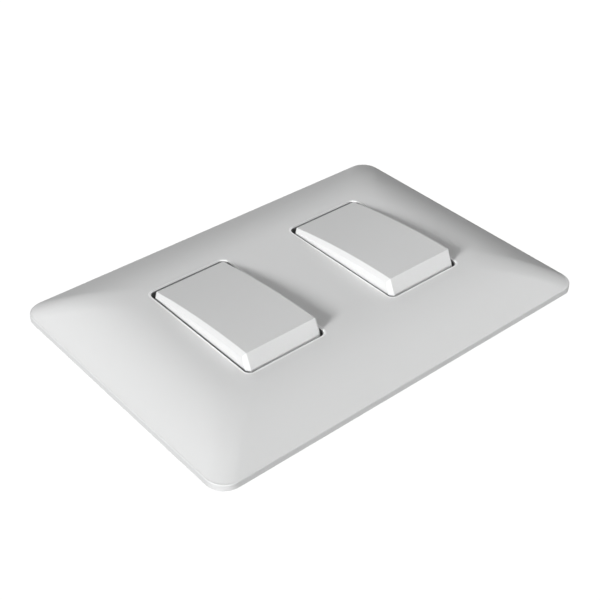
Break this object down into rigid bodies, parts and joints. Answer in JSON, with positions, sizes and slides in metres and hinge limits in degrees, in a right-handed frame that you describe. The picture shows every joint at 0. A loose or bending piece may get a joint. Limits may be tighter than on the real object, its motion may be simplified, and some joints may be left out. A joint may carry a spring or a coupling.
{
  "type": "light switch",
  "caption": "Landscape wall plate with soft slopes and rocker switches on a mounting frame, with the switch works behind.",
  "frame": {"origin": "middle of the wall fixing screws, on the wall's face", "axes": "+X along the plate's long side, +Y up the wall, +Z out of the wall"},
  "size_m": [0.12, 0.083, 0.0383],
  "materials": {
    "plate_white": "satin white moulded plastic",
    "rocker_white": "satin white moulded plastic",
    "frame_grey": "plain grey moulded nylon",
    "case_dark": "fine-textured black moulded plastic",
    "cover_grey": "dark grey moulded plastic",
    "nylon": "natural nylon",
    "spring_steel": "drawn spring wire",
    "blade_brass": "stamped sheet brass",
    "contact_silver": "silver alloy",
    "terminal_brass": "machined brass",
    "screw_steel": "zinc-plated steel"
  },
  "bodies": {
    "base": {"wall_plate": "plate_white", "mounting_frame": "frame_grey", "left_housing": "case_dark", "left_rear_cover": "cover_grey", "left_fixed_contact": "contact_silver", "left_common_terminal": "terminal_brass", "left_switched_terminal": "terminal_brass", "left_common_screw": "screw_steel", "left_switched_screw": "screw_steel", "right_housing": "case_dark", "right_rear_cover": "cover_grey", "right_fixed_contact": "contact_silver", "right_common_terminal": "terminal_brass", "right_switched_terminal": "terminal_brass", "right_common_screw": "screw_steel", "right_switched_screw": "screw_steel"},
    "left_rocker": {"left_rocker": "rocker_white", "left_plunger": "nylon", "left_plunger_spring": "spring_steel"},
    "left_blade": {"left_contact_blade": "blade_brass", "left_moving_contact": "contact_silver"},
    "right_rocker": {"right_rocker": "rocker_white", "right_plunger": "nylon", "right_plunger_spring": "spring_steel"},
    "right_blade": {"right_contact_blade": "blade_brass", "right_moving_contact": "contact_silver"}
  },
  "joints": [
    {"name": "left_rocker_hinge", "type": "hinge", "parent": "base", "child": "left_rocker", "pos_m": [-0.02325, 0, 0.0032], "axis": [1, 0, 0], "range_deg": [0, 9.6]},
    {"name": "left_blade_pivot", "type": "hinge", "parent": "base", "child": "left_blade", "pos_m": [-0.02325, 0, -0.012], "axis": [1, 0, 0], "range_deg": [-12, 0]},
    {"name": "right_rocker_hinge", "type": "hinge", "parent": "base", "child": "right_rocker", "pos_m": [0.02325, 0, 0.0032], "axis": [1, 0, 0], "range_deg": [0, 9.6]},
    {"name": "right_blade_pivot", "type": "hinge", "parent": "base", "child": "right_blade", "pos_m": [0.02325, 0, -0.012], "axis": [1, 0, 0], "range_deg": [-12, 0]}
  ],
  "couplings": [
    {"joint": "left_blade_pivot", "follows": "left_rocker_hinge", "ratio": -1.25},
    {"joint": "right_blade_pivot", "follows": "right_rocker_hinge", "ratio": -1.25}
  ]
}
